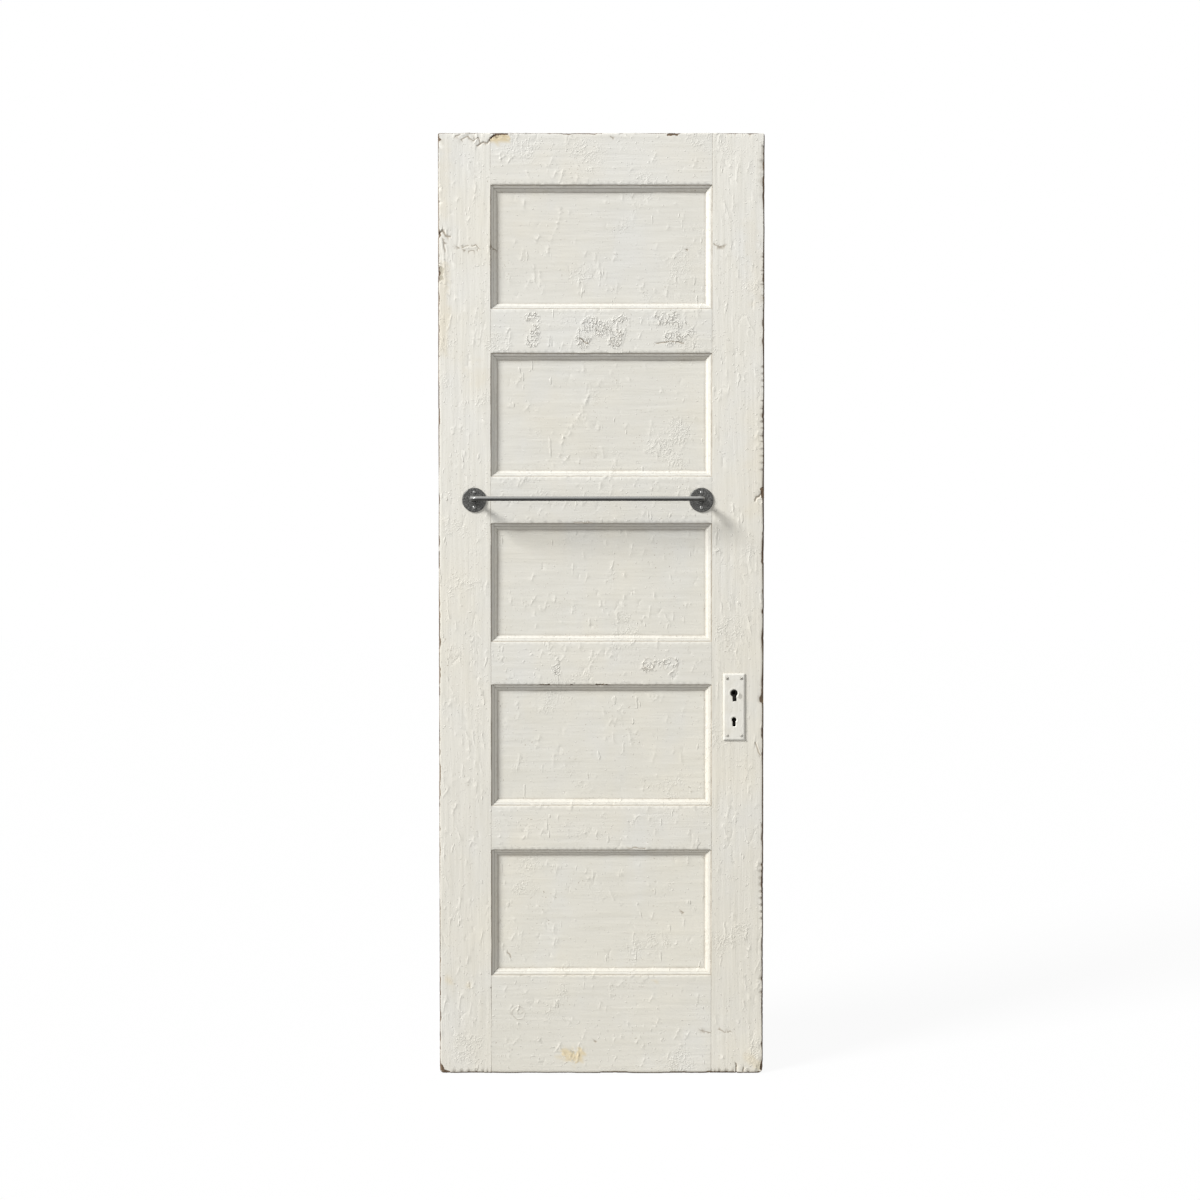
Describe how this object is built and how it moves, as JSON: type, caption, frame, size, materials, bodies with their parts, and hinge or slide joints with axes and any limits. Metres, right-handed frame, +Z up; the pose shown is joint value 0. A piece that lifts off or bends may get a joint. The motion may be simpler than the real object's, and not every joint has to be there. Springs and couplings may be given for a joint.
{
  "type": "panelled door leaf",
  "caption": "Weathered cream-painted wooden door leaf with flat cross panels, painted-over lock plates, a mortise lock and an iron towel bar.",
  "frame": {"origin": "middle of the leaf's bottom edge, half way through its thickness", "axes": "+X towards the lock edge, +Y from the towel-bar face to the back face, +Z up"},
  "size_m": [0.711, 0.0933, 2.057],
  "materials": {
    "painted_wood": "cream oil paint in many coats over brown softwood, crackled, chipped and dirty",
    "painted_panel": "cream oil paint in many coats over softwood, brushed along the grain",
    "dowel_wood": "bare glued dowel",
    "painted_plate": "painted over many times, edges softened",
    "painted_screws": "painted over, dirt in the slots",
    "black_iron": "blackened iron, mottled and worn",
    "iron_screws": "blackened round heads",
    "lock_iron": "lightly rusted",
    "lock_brass": "tarnished, with paint on it",
    "spring_steel": "dull"
  },
  "bodies": {
    "leaf": {"hinge_stile": "painted_wood", "lock_stile": "painted_wood", "top_rail": "painted_wood", "cross_rail_1": "painted_wood", "cross_rail_2": "painted_wood", "cross_rail_3": "painted_wood", "cross_rail_4": "painted_wood", "bottom_rail": "painted_wood", "panel_1": "painted_panel", "panel_2": "painted_panel", "panel_3": "painted_panel", "panel_4": "painted_panel", "panel_5": "painted_panel", "dowels_hinge_side": "dowel_wood", "dowels_lock_side": "dowel_wood", "front_lock_plate": "painted_plate", "front_plate_screws": "painted_screws", "back_lock_plate": "painted_plate", "back_plate_screws": "painted_screws", "lock_case": "lock_iron", "lock_cap": "lock_iron", "lock_cap_screw": "lock_iron", "lock_face_plate": "lock_brass", "face_plate_screws": "lock_brass", "spindle_hub": "lock_iron", "latch_bolt": "lock_brass", "latch_spring": "spring_steel", "dead_bolt_spring": "spring_steel", "towel_rod": "black_iron", "left_flange": "black_iron", "right_flange": "black_iron", "left_flange_screws": "iron_screws", "right_flange_screws": "iron_screws"},
    "dead_bolt": {"dead_bolt": "lock_brass"}
  },
  "joints": [
    {"name": "dead_bolt_slide", "type": "slide", "parent": "leaf", "child": "dead_bolt", "axis": [1, 0, 0], "range_m": [0, 0.012]}
  ]
}
